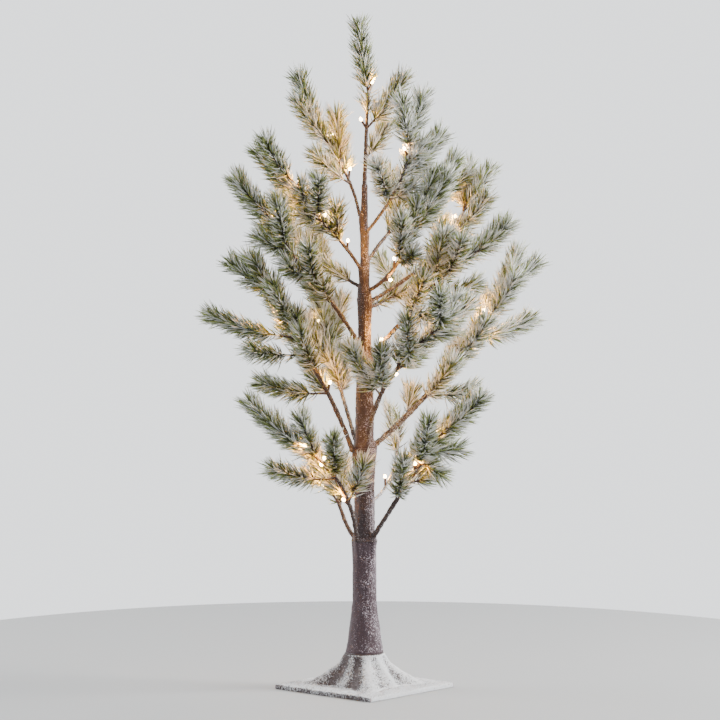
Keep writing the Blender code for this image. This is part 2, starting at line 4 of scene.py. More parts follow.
import bpy
import numpy as np
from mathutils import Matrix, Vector


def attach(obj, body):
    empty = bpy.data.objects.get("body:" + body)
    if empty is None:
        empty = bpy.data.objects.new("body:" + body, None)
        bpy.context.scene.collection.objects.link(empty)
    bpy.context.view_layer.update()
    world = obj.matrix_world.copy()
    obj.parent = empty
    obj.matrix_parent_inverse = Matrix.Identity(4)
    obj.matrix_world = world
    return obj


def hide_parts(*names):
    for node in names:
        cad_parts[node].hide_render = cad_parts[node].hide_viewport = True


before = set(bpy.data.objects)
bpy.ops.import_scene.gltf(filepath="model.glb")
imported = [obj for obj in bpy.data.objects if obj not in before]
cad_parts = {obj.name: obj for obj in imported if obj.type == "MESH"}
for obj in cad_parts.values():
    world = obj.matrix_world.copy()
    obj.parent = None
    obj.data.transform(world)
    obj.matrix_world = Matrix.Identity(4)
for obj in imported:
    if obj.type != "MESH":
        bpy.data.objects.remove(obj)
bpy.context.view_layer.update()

# ---- room and camera ----
# The tree stands on a plain pale round floor in a bright room. The light comes from behind and
# from the right, so the near side is the darkest. The view is long and nearly level.
FLOOR_R = 0.86
FLOOR_AROUND = 180
FLOOR_GREY = (0.46, 0.47, 0.48)
ROOM_NEAR, ROOM_FAR = 0.50, 1.95        # strength of the room behind the viewer and beyond the tree
VIEW_AZIMUTH = math.radians(-3.8)
VIEW_DISTANCE = 4.9
VIEW_HEIGHT = 0.80
AIM_SIDE, AIM_HEIGHT = -0.0061, 0.4495
LENS_MM = 180.8
LIGHT_AIM = (0, 0, 0.45)


def surface(name, verts, faces, **values):
    """A mesh from an array of points and a list of face arrays; values are floats, one a point."""
    mesh = bpy.data.meshes.new(name)
    mesh.vertices.add(len(verts))
    mesh.vertices.foreach_set("co", np.ascontiguousarray(verts, dtype=np.float32).ravel())
    loops = np.concatenate([f.ravel() for f in faces]).astype(np.int32)
    sizes = np.concatenate([np.full(len(f), f.shape[1]) for f in faces])
    mesh.loops.add(len(loops))
    mesh.loops.foreach_set("vertex_index", loops)
    mesh.polygons.add(len(sizes))
    mesh.polygons.foreach_set("loop_start", np.r_[0, np.cumsum(sizes)[:-1]].astype(np.int32))
    for key, value in values.items():
        layer = mesh.attributes.new(key, 'FLOAT', 'POINT')
        layer.data.foreach_set("value", np.ascontiguousarray(value, dtype=np.float32).ravel())
    mesh.update(calc_edges=True)
    mesh.shade_smooth()
    obj = bpy.data.objects.new(name, mesh)
    bpy.context.scene.collection.objects.link(obj)
    return obj


def strips(rows, columns, wrap):
    """Quads of a rows by columns grid, joined round its columns if wrap is true."""
    i = np.arange(rows - 1)[:, None]
    j = np.arange(columns if wrap else columns - 1)[None, :]
    k = (j + 1) % columns
    return np.stack([i * columns + j, i * columns + k, (i + 1) * columns + k,
                     (i + 1) * columns + j], -1).reshape(-1, 4)


def wire_up(tree, kind, settings=None, **inputs):
    """Adds a shader node; each input is a value or another node's output socket."""
    node = tree.nodes.new(kind)
    for key, value in (settings or {}).items():
        setattr(node, key, value)
    for key, value in inputs.items():
        name = key.replace("_", " ").strip()
        socket = node.inputs[int(name)] if name.isdigit() else node.inputs[name]
        if isinstance(value, bpy.types.NodeSocket):
            tree.links.new(value, socket)
        else:
            socket.default_value = value
    return node


def plain_material(name, colour, roughness):
    """A Principled material with its constants on the shader's own sockets."""
    mat = bpy.data.materials.new(name)
    mat.use_nodes = True
    shader = mat.node_tree.nodes["Principled BSDF"]
    shader.inputs["Base Color"].default_value = (*colour, 1)
    shader.inputs["Roughness"].default_value = roughness
    return mat, mat.node_tree, shader


turn = np.arange(FLOOR_AROUND) * 2 * math.pi / FLOOR_AROUND
disc = np.stack([FLOOR_R * np.cos(turn), FLOOR_R * np.sin(turn), 0 * turn], 1)
floor = surface("floor", disc, [np.arange(FLOOR_AROUND)[None, :]])
floor.data.materials.append(plain_material("floor_paint", FLOOR_GREY, 0.85)[0])


def area_light(name, place, aim, size, watts, colour):
    """A soft square light at place, turned towards aim."""
    lamp = bpy.data.lights.new(name, 'AREA')
    lamp.size = size
    lamp.energy = watts
    lamp.color = colour
    obj = bpy.data.objects.new(name, lamp)
    obj.location = place
    obj.rotation_euler = (Vector(aim) - Vector(place)).to_track_quat('-Z', 'Y').to_euler()
    bpy.context.scene.collection.objects.link(obj)


area_light("window_side", (2.1, -0.25, 1.2), LIGHT_AIM, 0.9, 100, (1.0, 0.98, 0.94))
area_light("far_side", (-2.0, 0.5, 1.1), LIGHT_AIM, 1.0, 34, (1.0, 0.97, 0.93))
area_light("front_soft", (0.6, -3.0, 1.6), LIGHT_AIM, 2.0, 20, (1.0, 0.98, 0.95))
world = bpy.data.worlds.new("pale_room")
world.use_nodes = True
sky = world.node_tree.nodes["Background"]
sky.inputs["Color"].default_value = (0.93, 0.955, 0.98, 1)
depth = wire_up(world.node_tree, "ShaderNodeSeparateXYZ",
                Vector=wire_up(world.node_tree, "ShaderNodeTexCoord").outputs["Generated"])
brightness = wire_up(world.node_tree, "ShaderNodeMapRange", {"interpolation_type": 'SMOOTHSTEP'},
                     Value=depth.outputs["Y"], From_Min=-0.3, From_Max=0.6,
                     To_Min=ROOM_NEAR, To_Max=ROOM_FAR)
world.node_tree.links.new(brightness.outputs[0], sky.inputs["Strength"])
bpy.context.scene.world = world

sideways = Vector((math.cos(VIEW_AZIMUTH), math.sin(VIEW_AZIMUTH), 0))
back = Vector((math.sin(VIEW_AZIMUTH), -math.cos(VIEW_AZIMUTH), 0))
camera = bpy.data.objects.new("camera", bpy.data.cameras.new("camera"))
camera.data.lens = LENS_MM
camera.data.sensor_width = 36
camera.data.clip_end = 30
aim_at = sideways * AIM_SIDE + Vector((0, 0, AIM_HEIGHT))
camera.location = back * VIEW_DISTANCE + sideways * AIM_SIDE + Vector((0, 0, VIEW_HEIGHT))
camera.rotation_euler = (aim_at - camera.location).to_track_quat('-Z', 'Y').to_euler()
bpy.context.scene.collection.objects.link(camera)
bpy.context.scene.camera = camera

# ---- base: square plate and root flare ----
# One hollow plastic moulding, bark-brown, sprayed with glue and coarse white snow flock.
# The flock lies thick on what faces up; painted light makes it thicker on the lit right side
# and thin to specks on the shaded left.
PLATE_HALF = 0.0865
PLATE_TOP = 0.0060
SEAM_Z, SEAM_R = 0.0500, 0.0253
COAT = 0.0005               # flock over the moulding
# flare level: corner radius, mid-side radius, flute depth, height
FLARE_LEVELS = np.array([(0.0800, 0.0540, 0.0035, 0.0062), (0.0641, 0.0457, 0.0045, 0.0150),
                         (0.0472, 0.0368, 0.0035, 0.0255), (0.0341, 0.0299, 0.0020, 0.0360),
                         (0.0258, 0.0256, 0.0000, 0.0480)])
BASE_AROUND, FLARE_RINGS = 480, 70
CORNER_CUT = 1.397          # rounded corners of the square, in half sides from the centre
BASE_LUMPS = ((0.0024, 1, 0.00035), (0.0011, 2, 0.00022), (0.0090, 3, 0.0005))  # size, seed, height
FLUTE_BARE = 0.34           # less snow in the hollows of the flare
FLUTE_FOOT, FLUTE_TOP = 0.008, 0.047
SEAM_SHADE_Z = 0.0480        # painted shade in the crease under the trunk: the flare's lip there has no snow
BASE_SNOW_AND_LIGHT = (0.24, 0.98)   # snow, and painted light from the shaded bare left to the lit full right
BARK_MAUVE = (0.080, 0.056, 0.060)
SNOW_WHITE = (0.78, 0.80, 0.84)


def lattice_noise(points, cell, seed):
    """Smooth noise in -1..1: random values on a lattice of that cell, blended by a cubic fade."""
    table = np.random.default_rng(seed).random((32, 32, 32)) * 2 - 1
    q = np.asarray(points) / cell
    base = np.floor(q).astype(int)
    f = q - base
    f = f * f * (3 - 2 * f)
    total = 0
    for corner in range(8):
        step = np.array([corner & 1, corner >> 1 & 1, corner >> 2 & 1])
        idx = (base + step) % 32
        weight = np.prod(np.where(step, f, 1 - f), axis=-1)
        total = total + table[idx[..., 0], idx[..., 1], idx[..., 2]] * weight
    return total


def flock_group():
    """Snow flock over bark: a speckled mask that closes up as Cover goes from 0 to 1.

    Mask = smooth step of (2.4 x fine grain + 0.5 x coarse patches + 1.1 x Cover - 2.02). Colour runs
    from bark to snow by the mask, each with its own mottling, and Height adds grains and lumps.
    """
    group = bpy.data.node_groups.new("snow_flock", 'ShaderNodeTree')
    for name, kind, value in (("Bark", 'NodeSocketColor', (0.1, 0.08, 0.08, 1)),
                              ("Snow", 'NodeSocketColor', (0.8, 0.8, 0.8, 1)),
                              ("Cover", 'NodeSocketFloat', 0.5),
                              ("Grain per metre", 'NodeSocketFloat', 900.0)):
        group.interface.new_socket(name, in_out='INPUT', socket_type=kind).default_value = value
    for name, kind in (("Colour", 'NodeSocketColor'), ("Roughness", 'NodeSocketFloat'),
                       ("Height", 'NodeSocketFloat')):
        group.interface.new_socket(name, in_out='OUTPUT', socket_type=kind)
    start = group.nodes.new("NodeGroupInput")
    end = group.nodes.new("NodeGroupOutput")
    place = wire_up(group, "ShaderNodeTexCoord").outputs["Object"]
    grain = wire_up(group, "ShaderNodeTexNoise", Vector=place, Detail=3.0, Roughness=0.7,
                    Scale=start.outputs["Grain per metre"]).outputs["Fac"]
    patch = wire_up(group, "ShaderNodeTexNoise", Vector=place, Scale=120.0, Detail=3.0).outputs["Fac"]
    mottle = wire_up(group, "ShaderNodeTexNoise", Vector=place, Scale=260.0, Detail=4.0).outputs["Fac"]

    def maths(operation, a, b):
        node = group.nodes.new("ShaderNodeMath")
        node.operation = operation
        for socket, value in zip(node.inputs, (a, b)):
            if isinstance(value, bpy.types.NodeSocket):
                group.links.new(value, socket)
            else:
                socket.default_value = value
        return node.outputs[0]

    speck = maths('ADD', maths('MULTIPLY', grain, 2.4), maths('MULTIPLY', patch, 0.5))
    level = maths('ADD', maths('MULTIPLY', start.outputs["Cover"], 1.1), -2.02)
    mask = wire_up(group, "ShaderNodeMapRange", {"interpolation_type": 'SMOOTHSTEP'},
                   Value=maths('ADD', speck, level), From_Min=-0.14, From_Max=0.16).outputs[0]
    dark = wire_up(group, "ShaderNodeMix", {"data_type": 'RGBA', "blend_type": 'MULTIPLY'},
                   **{"0": 0.65, "6": start.outputs["Bark"], "7": mottle})
    shaded = wire_up(group, "ShaderNodeMapRange", Value=mottle, To_Min=0.72, To_Max=1.12).outputs[0]
    pale = wire_up(group, "ShaderNodeMix", {"data_type": 'RGBA', "blend_type": 'MULTIPLY'},
                   **{"0": 1.0, "6": start.outputs["Snow"], "7": shaded})
    mixed = wire_up(group, "ShaderNodeMix", {"data_type": 'RGBA'},
                    **{"0": mask, "6": dark.outputs[2], "7": pale.outputs[2]})
    group.links.new(mixed.outputs[2], end.inputs["Colour"])
    group.links.new(maths('ADD', maths('MULTIPLY', mask, 0.25), 0.68), end.inputs["Roughness"])
    group.links.new(maths('ADD', maths('MULTIPLY', mask, 0.6), maths('MULTIPLY', grain, 0.6)),
                    end.inputs["Height"])
    return group


FLOCK = flock_group()


def flocked(name, bark, snow, relief, attribute="cover", grain=900.0):
    """A material of the flock group, its cover read from the piece's own attribute."""
    mat, tree, shader = plain_material(name, bark, 0.9)
    cover = wire_up(tree, "ShaderNodeAttribute", {"attribute_name": attribute}).outputs["Fac"]
    group = tree.nodes.new("ShaderNodeGroup")
    group.node_tree = FLOCK
    group.inputs["Bark"].default_value = (*bark, 1)
    group.inputs["Snow"].default_value = (*snow, 1)
    group.inputs["Grain per metre"].default_value = grain
    tree.links.new(cover, group.inputs["Cover"])
    bump = wire_up(tree, "ShaderNodeBump", Strength=1.0, Distance=relief,
                   Height=group.outputs["Height"])
    tree.links.new(group.outputs["Colour"], shader.inputs["Base Color"])
    tree.links.new(group.outputs["Roughness"], shader.inputs["Roughness"])
    tree.links.new(bump.outputs["Normal"], shader.inputs["Normal"])
    return mat


def snow_and_painted_light_by_side(verts, normals, low, high):
    """Cover from low on the left and underneath to high on top (snow) and right (painted light)."""
    # painted light: normals facing the window on the right (+x) get more flock, as well as those facing
    # up
    lit_side_and_top = 0.70 * normals[:, 0] + 0.30 * normals[:, 2] - 0.12 * normals[:, 1]
    patch = lattice_noise(verts, 0.018, 5) * 0.10
    return np.clip(low + (high - low) * (0.5 + 0.62 * lit_side_and_top) + patch, 0, 1)


def grid_normals(points, rows, columns):
    """Normals of a wrapped grid: along the column step crossed with along the row step."""
    p = points.reshape(rows, columns, 3)
    around = np.roll(p, -1, 1) - np.roll(p, 1, 1)
    along = np.gradient(p, axis=0)
    n = np.cross(around, along)
    return (n / (np.linalg.norm(n, axis=-1, keepdims=True) + 1e-12)).reshape(-1, 3)


def base_rings():
    """Rings from the plate's underside edge over its rim and top, then up the fluted flare.

    Plate rings are squares with rounded rims; flare rings have radius middle + (corner -
    middle) cos^4(2a) - flute sin^2(4a), read smoothly between the listed levels.
    """
    a = np.arange(BASE_AROUND) * 2 * math.pi / BASE_AROUND
    square = math.sqrt(2) / (np.abs(np.cos(a)) + np.abs(np.sin(a)))
    rounded = np.minimum(square, CORNER_CUT)
    half = PLATE_HALF + COAT
    rim = [(half - 0.0025, 0.0), (half, 0.0002), (half, 0.0012), (half, 0.0030), (half, 0.0048),
           (half - 0.0004, PLATE_TOP), (half - 0.0014, PLATE_TOP + COAT)]
    rings = [np.stack([h * rounded, np.full_like(a, z)], 1) for h, z in rim]
    t = np.linspace(0, len(FLARE_LEVELS) - 1, FLARE_RINGS)
    k = np.clip(t.astype(int), 0, len(FLARE_LEVELS) - 2)
    f = (t - k)[:, None]
    slope = np.gradient(FLARE_LEVELS, axis=0)
    p0, p1, m0, m1 = FLARE_LEVELS[k], FLARE_LEVELS[k + 1], slope[k], slope[k + 1]
    level = ((2 * f**3 - 3 * f**2 + 1) * p0 + (f**3 - 2 * f**2 + f) * m0
             + (3 * f**2 - 2 * f**3) * p1 + (f**3 - f**2) * m1)
    ridge = np.cos(2 * a) ** 4
    flute = np.sin(4 * a) ** 2
    flare = [(c - m) * ridge + m - d * flute + COAT * 1.4 for c, m, d, _ in level]
    foot = half * rounded - 0.0014
    for s in np.linspace(0.1, 0.97, 16):
        rings.append(np.stack([foot + (flare[0] - foot) * s, np.full_like(a, PLATE_TOP + COAT)], 1))
    rings += [np.stack([r, np.full_like(a, row[3] + COAT)], 1) for r, row in zip(flare, level)]
    lip = ((0.0007, -0.0012), (0.0002, 0), (-0.003, 0.0003))       # round the seam with the trunk
    rings += [np.stack([np.full_like(a, SEAM_R + r), np.full_like(a, SEAM_Z + z)], 1) for r, z in lip]
    rz = np.array(rings)
    return np.stack([rz[..., 0] * np.cos(a), rz[..., 0] * np.sin(a), rz[..., 1]], -1).reshape(-1, 3)


verts = base_rings()
rows = len(verts) // BASE_AROUND
normals = grid_normals(verts, rows, BASE_AROUND)
lumps = sum(lattice_noise(verts, size, seed) * height for size, seed, height in BASE_LUMPS)
keep_flat = np.clip((verts[:, 2] - 0.0006) / 0.003, 0, 1)
verts = verts + normals * (lumps * keep_flat)[:, None]
# painted light: the base's flock is laid thicker on its lit right side
cover = snow_and_painted_light_by_side(verts, normals, *BASE_SNOW_AND_LIGHT)
hollow = 0.5 - 0.5 * np.cos(8 * np.arctan2(verts[:, 1], verts[:, 0]))
cover -= FLUTE_BARE * hollow * ((verts[:, 2] > FLUTE_FOOT) & (verts[:, 2] < FLUTE_TOP))
# painted shade: the lip tucked under the trunk is left bare and dark
cover -= 0.9 * np.clip((verts[:, 2] - SEAM_SHADE_Z) / 0.0010, 0, 1)
base_skin = surface("base_flock", verts, [strips(rows, BASE_AROUND, True)], cover=np.clip(cover, 0, 1))
base_skin.data.materials.append(flocked("flocked_base", BARK_MAUVE, SNOW_WHITE, 0.0006, grain=560.0))
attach(base_skin, "base")

# ---- trunk: moulded skirt below the first fork, bark-paper wraps above it ----
# The skirt is the same flocked plastic as the base. Above it brown bark paper is wound up the
# steel pole over the roots of the branch wires, so the trunk swells wherever a branch is bound in.
# height and radius
TRUNK = np.array([(0.0504, 0.0253), (0.0650, 0.0228), (0.0830, 0.0204), (0.1000, 0.0180),
                  (0.1200, 0.0160), (0.1900, 0.0160), (0.2030, 0.0174), (0.2140, 0.0132),
                  (0.3340, 0.0130), (0.3450, 0.0120), (0.3950, 0.0115), (0.4600, 0.0088),
                  (0.5300, 0.0080), (0.5450, 0.0056), (0.6900, 0.0034)])
TRUNK_AROUND = 120
TRUNK_STEP = 0.0011         # between rings
TAPE_PITCH = 0.0135         # climb of the wound paper in one turn
TAPE_STEP = 0.0005          # its edge on the thick part of the trunk
BARK_COAT = 0.0003
# relief: squeeze of its height, size of its lumps, seed, height of the lumps
BARK_RELIEF = ((0.16, 0.0034, 11, 0.0007), (0.55, 0.0022, 12, 0.00035), (1, 0.0013, 13, 0.00022))
ROOT_LUMP_WIDTH, ROOT_LUMP_TAIL, ROOT_LUMP_TOP = 0.0042, 0.026, 0.0045
ROOT_GAP = 0.0032           # trunk surface to the centre of a root eye
# snow and painted light on the trunk, from the shaded left to the lit right
TRUNK_SNOW_AND_LIGHT = (0.08, 0.44)

# branch: root height, root azimuth, heading, rises (root, middle, tip), length, and its sprays:
#   station along the branch, azimuth, rise, length, bare share of the length
BRANCHES = {
    "low_left_back": (0.205, 130, 130, (40, 65, 40), 0.080,
                      [(1.00, 145, 40, 0.045, 0.1), (0.60, 105, 50, 0.045, 0.3)]),
    "low_left_front": (0.205, 235, 215, (85, 55, 30), 0.160,
                       [(1.00, 190, 40, 0.110, 0.15), (0.85, 230, 55, 0.080, 0.15),
                        (0.60, 205, 10, 0.105, 0.35), (0.35, 300, 55, 0.075, 0.3)]),
    "low_right_front": (0.210, 310, 325, (55, 55, 50), 0.185,
                        [(1.00, 330, 40, 0.080, 0.1), (0.65, 290, 60, 0.070, 0.2),
                         (0.70, 345, -30, 0.040, 0.3), (0.80, 355, 5, 0.050, 0.3),
                         (0.50, 350, 20, 0.040, 0.4)]),
    "low_right_back": (0.255, 50, 50, (15, 50, 85), 0.105,
                       [(1.00, 80, 65, 0.045, 0.1), (0.60, 20, 35, 0.050, 0.35)]),
    "mid_left_front": (0.325, 190, 190, (70, 60, 60), 0.250,
                       [(1.00, 180, 35, 0.070, 0.1), (0.70, 185, 15, 0.130, 0.3),
                        (0.35, 195, 10, 0.105, 0.3), (0.60, 210, 5, 0.095, 0.45),
                        (0.65, 250, 60, 0.060, 0.3), (1.00, 210, 60, 0.055, 0.1)]),
    "mid_left_back": (0.340, 140, 140, (70, 70, 75), 0.165,
                      [(1.00, 125, 65, 0.050, 0.1), (0.75, 165, 55, 0.060, 0.25),
                       (0.50, 110, 50, 0.060, 0.3), (0.80, 65, 55, 0.085, 0.15)]),
    "mid_front": (0.340, 280, 315, (80, 45, 30), 0.230,
                  [(1.00, 320, 70, 0.040, 0.1), (0.80, 350, 20, 0.045, 0.3),
                   (0.60, 275, 20, 0.045, 0.3), (0.35, 245, 40, 0.055, 0.35),
                   (0.50, 285, 60, 0.045, 0.35), (0.30, 220, 50, 0.095, 0.15)]),
    "mid_right_long": (0.335, 5, 5, (40, 50, 60), 0.280,
                       [(1.00, 10, 35, 0.060, 0.1), (0.90, 350, 65, 0.060, 0.2),
                        (0.70, 20, 15, 0.100, 0.25), (0.50, 330, 60, 0.045, 0.3),
                        (0.35, 350, 5, 0.070, 0.4), (0.20, 60, 60, 0.045, 0.4)]),
    "upper_right_front": (0.460, 340, 340, (45, 50, 30), 0.200,
                          [(1.00, 340, 40, 0.065, 0.1), (0.50, 355, 15, 0.085, 0.25),
                           (0.60, 310, 70, 0.075, 0.3), (0.40, 300, -10, 0.050, 0.35),
                           (0.60, 290, 60, 0.095, 0.15)]),
    "upper_right_back": (0.530, 25, 25, (25, 35, 75), 0.210,
                         [(1.00, 30, 45, 0.060, 0.1), (0.90, 5, 60, 0.065, 0.2),
                          (0.60, 55, 30, 0.055, 0.3)]),
    "upper_right_inner": (0.545, 320, 320, (25, 65, 65), 0.170,
                          [(1.00, 320, 65, 0.035, 0.1), (0.35, 300, 20, 0.050, 0.3),
                           (0.65, 285, 60, 0.050, 0.3), (0.65, 335, 55, 0.100, 0.1)]),
    "top_right_back": (0.585, 45, 45, (45, 30, 15), 0.180,
                       [(1.00, 35, 35, 0.035, 0.1), (0.65, 60, 10, 0.045, 0.3),
                        (0.40, 100, 65, 0.085, 0.3), (0.30, 315, 65, 0.070, 0.1)]),
    "top_right_front": (0.625, 300, 300, (35, 45, 80), 0.175,
                        [(1.00, 310, 70, 0.060, 0.1), (0.75, 335, 50, 0.045, 0.3),
                         (0.40, 340, 30, 0.045, 0.3)]),
    "upper_left_back": (0.550, 150, 150, (25, 35, 65), 0.150,
                        [(1.00, 150, 60, 0.035, 0.1), (0.70, 170, 25, 0.040, 0.3),
                         (0.45, 125, 40, 0.050, 0.3)]),
    "upper_left_front": (0.460, 260, 205, (60, 45, 60), 0.245,
                         [(1.00, 200, 45, 0.065, 0.1), (0.75, 185, 20, 0.050, 0.3),
                          (0.55, 225, 20, 0.055, 0.3), (0.35, 240, 45, 0.045, 0.35)]),
    "top_left_front": (0.575, 220, 220, (50, 35, 55), 0.175,
                       [(1.00, 225, 45, 0.080, 0.15), (0.75, 250, 40, 0.045, 0.3),
                        (0.30, 255, 60, 0.060, 0.35), (0.55, 195, 20, 0.040, 0.3)]),
    "top_left_back": (0.645, 155, 155, (80, 60, 60), 0.130,
                      [(1.00, 160, 65, 0.085, 0.15), (0.55, 110, 75, 0.080, 0.35),
                       (0.35, 190, 40, 0.070, 0.25)]),
    "mid_right_back": (0.520, 60, 60, (5, 15, 20), 0.125,
                       [(1.00, 60, 25, 0.040, 0.1), (0.60, 85, 20, 0.050, 0.3)]),
}

# frost, fullness, bark radii (root, tip), lights (station, azimuth, rise) and
#   needle-clad stretches (start and end station, needles)
DRESSING = {
    "low_left_back": (0.25, 0.8, (0.0030, 0.0021), [(0.95, 185, 20)], []),
    "low_left_front": (0.35, 1.1, (0.0034, 0.0022),
                       [(0.95, 200, 60), (0.75, 300, 50), (0.70, 200, 20), (0.30, 200, 20)], []),
    "low_right_front": (0.40, 1.1, (0.0034, 0.0022), [(0.60, 230, 40), (0.90, 200, 40)],
                        [(0.70, 1.00, 160)]),
    "low_right_back": (0.85, 0.4, (0.0024, 0.0018), [(0.35, 200, 50)], []),
    "mid_left_front": (0.30, 1.0, (0.0036, 0.0022), [(0.80, 200, 10), (0.35, 20, 30)],
                       [(0.72, 1.00, 160)]),
    "mid_left_back": (0.75, 1.1, (0.0030, 0.0020), [(0.95, 180, 30)], [(0.50, 1.00, 260)]),
    "mid_front": (0.55, 1.1, (0.0036, 0.0021), [(0.90, 130, 50), (0.40, 20, 20)],
                  [(0.55, 1.00, 240)]),
    "mid_right_long": (0.60, 1.1, (0.0040, 0.0024), [(0.65, 0, 0), (0.80, 180, 40)],
                       [(0.50, 0.70, 110)]),
    "upper_right_front": (0.45, 1.0, (0.0032, 0.0021), [(0.05, 250, 30)], [(0.78, 1.00, 110)]),
    "upper_right_back": (0.45, 1.0, (0.0028, 0.0020),
                         [(0.45, 330, -30), (0.60, 340, 20), (0.80, 150, 40)],
                         [(0.50, 0.80, 120)]),
    "upper_right_inner": (0.45, 1.1, (0.0028, 0.0019), [(0.15, 300, -30), (0.30, 200, 50)],
                          [(0.45, 1.00, 220)]),
    "top_right_back": (0.45, 1.1, (0.0026, 0.0018), [(0.35, 250, 50)], [(0.30, 1.00, 300)]),
    "top_right_front": (0.80, 1.1, (0.0024, 0.0018), [(0.80, 180, 30)], [(0.50, 1.00, 160)]),
    "upper_left_back": (0.30, 1.0, (0.0026, 0.0019), [(0.60, 200, 40)], [(0.10, 1.00, 420)]),
    "upper_left_front": (0.35, 1.0, (0.0032, 0.0020), [(0.90, 20, 50)], [(0.70, 1.00, 150)]),
    "top_left_front": (0.35, 1.0, (0.0026, 0.0019),
                       [(0.90, 20, 40), (0.50, 20, 50), (0.20, 330, 40)], [(0.30, 0.85, 160)]),
    "top_left_back": (0.40, 1.0, (0.0024, 0.0018), [(0.40, 20, 40), (0.80, 20, 40)],
                      [(0.60, 1.00, 90)]),
    "mid_right_back": (0.30, 0.9, (0.0026, 0.0019), [], [(0.20, 1.00, 140)]),
}


def unit(azimuth, rise):
    """Direction of an azimuth and a rise, in degrees."""
    a, e = np.radians(azimuth), np.radians(rise)
    return np.stack([np.cos(e) * np.cos(a), np.cos(e) * np.sin(a), np.sin(e)], -1)


def trunk_radius(z):
    return np.interp(z, TRUNK[:, 0], TRUNK[:, 1])


def root_of(root_z, root_azimuth):
    """Centre of a branch's root eye, just off the trunk surface."""
    flat = unit(root_azimuth, 0) * (trunk_radius(root_z) + ROOT_GAP)
    return flat + np.array([0, 0, root_z])


def root_swelling(a, z):
    """Highest of the lumps: each is round across, full at its root and drawn out 40 mm below it."""
    total = np.zeros_like(a)
    for root_z, root_azimuth, *_ in BRANCHES.values():
        r = trunk_radius(root_z)
        turn = (a - math.radians(root_azimuth) + math.pi) % (2 * math.pi) - math.pi
        across = np.exp(-(turn * r / ROOT_LUMP_WIDTH) ** 2)
        drop = root_z - z
        along = np.where(drop > 0, np.exp(-(drop / ROOT_LUMP_TAIL) ** 2),
                         np.exp(-(drop / ROOT_LUMP_TOP) ** 2))
        total = np.maximum(total, across * along * (0.0030 + 0.10 * r))
    return total


def trunk_skin(name, z0, z1, bore, taped):
    """A turned surface with relief, closed at both ends down to the pole's bore.

    Radius = trunk radius + long vertical ridges + grain + root swellings, and on wound paper
    a small step that climbs one tape pitch for each turn.
    """
    z = np.r_[z0, z0, np.arange(z0 + 0.0004, z1 - 0.0004, TRUNK_STEP), z1, z1]
    a = np.arange(TRUNK_AROUND) * 2 * math.pi / TRUNK_AROUND
    aa, zz = np.meshgrid(a, z)
    r = trunk_radius(zz)
    wall = np.stack([np.cos(aa) * 0.016, np.sin(aa) * 0.016, zz], -1)
    for upright, size, seed, height in BARK_RELIEF:
        r = r + lattice_noise(wall * (1, 1, upright), size, seed) * height
    r = r + BARK_COAT
    if taped:
        climb = (zz / TAPE_PITCH + aa / (2 * math.pi)) % 1.0
        r = r + TAPE_STEP * climb * np.clip(r / 0.010, 0.4, 1)
    r = r + root_swelling(aa, zz)
    r[0], r[-1] = bore, bore
    verts = np.stack([r * np.cos(aa), r * np.sin(aa), zz], -1).reshape(-1, 3)
    normals = grid_normals(verts, len(z), TRUNK_AROUND)
    seam_shadow = np.clip(1 - (verts[:, 2] - z0) / 0.0012, 0, 1)
    # painted light: the trunk's flock is laid thicker on its lit right side
    cover = snow_and_painted_light_by_side(verts, normals, *TRUNK_SNOW_AND_LIGHT) - 0.8 * seam_shadow
    skin = surface(name, verts, [strips(len(z), TRUNK_AROUND, True),
                                 np.arange(TRUNK_AROUND)[None, ::-1],
                                 np.arange(TRUNK_AROUND)[None, :] + (len(z) - 1) * TRUNK_AROUND],
                   cover=cover)
    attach(skin, "trunk")
    return skin


POLE_BORE, THIN_BORE = 0.0048, 0.0024
SKIRT_FOOT, SKIRT_TOP = 0.0504, 0.2020
SKIRT_BARK = (0.088, 0.052, 0.066)
PAPER_BROWN = (0.058, 0.036, 0.040)
SKIRT_FROST = (0.60, 0.53, 0.60)
skirt = trunk_skin("skirt_flock", SKIRT_FOOT, SKIRT_TOP, POLE_BORE, False)
skirt.data.materials.append(flocked("flocked_skirt", SKIRT_BARK, SKIRT_FROST, 0.0005, grain=640.0))
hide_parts("trunk_skirt")
wrap_bark = flocked("flocked_bark_paper", PAPER_BROWN, SKIRT_FROST, 0.0005, grain=680.0)
WRAPS = (("lower", 0.2024, 0.3300, POLE_BORE), ("middle", 0.3304, 0.4400, POLE_BORE),
         ("upper", 0.4404, 0.5404, POLE_BORE), ("top", 0.5408, 0.6880, THIN_BORE))
for level, low, high, bore in WRAPS:
    wrap = trunk_skin(f"{level}_bark_wrap", low, high, bore, True)
    wrap.data.materials.append(wrap_bark)
    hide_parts(f"{level}_trunk_wrap")

# ---- branches: steel wires bound in bark tape, with needle sprays taped on ----
# Each branch is one bent wire under spiral bark tape; side twigs are taped on along it. The
# needles are slit green film, splayed in tufts and leaning to the tip, flocked white at their ends.
WIRE_POINTS = 120
WIRE_SIDES = 12
TWIG_POINTS = 16
TWIG_TAPE_PITCH = 0.0105
# parts of a twig's radius: the tape's step, its knuckles and its grain
TWIG_STEP, TWIG_KNUCKLE, TWIG_GRAIN = 0.20, 0.10, 0.14
NEEDLE_LENGTH, NEEDLE_RADIUS = 0.0245, 0.00092
NEEDLE_STATIONS = np.array([0.0, 0.35, 0.72, 1.0])      # along one needle, and its widths there
NEEDLE_WIDTHS = np.array([0.75, 1.0, 0.8, 0.12])
NEEDLE_BEND = 0.30
NEEDLES_PER_METRE = 3700    # of a spray
STALK_NEEDLES = 420         # sparse ones for each metre of its bare stalk
TIP_TUFT = 26               # extra needles at its tip
TUFT_SPACING = 0.021
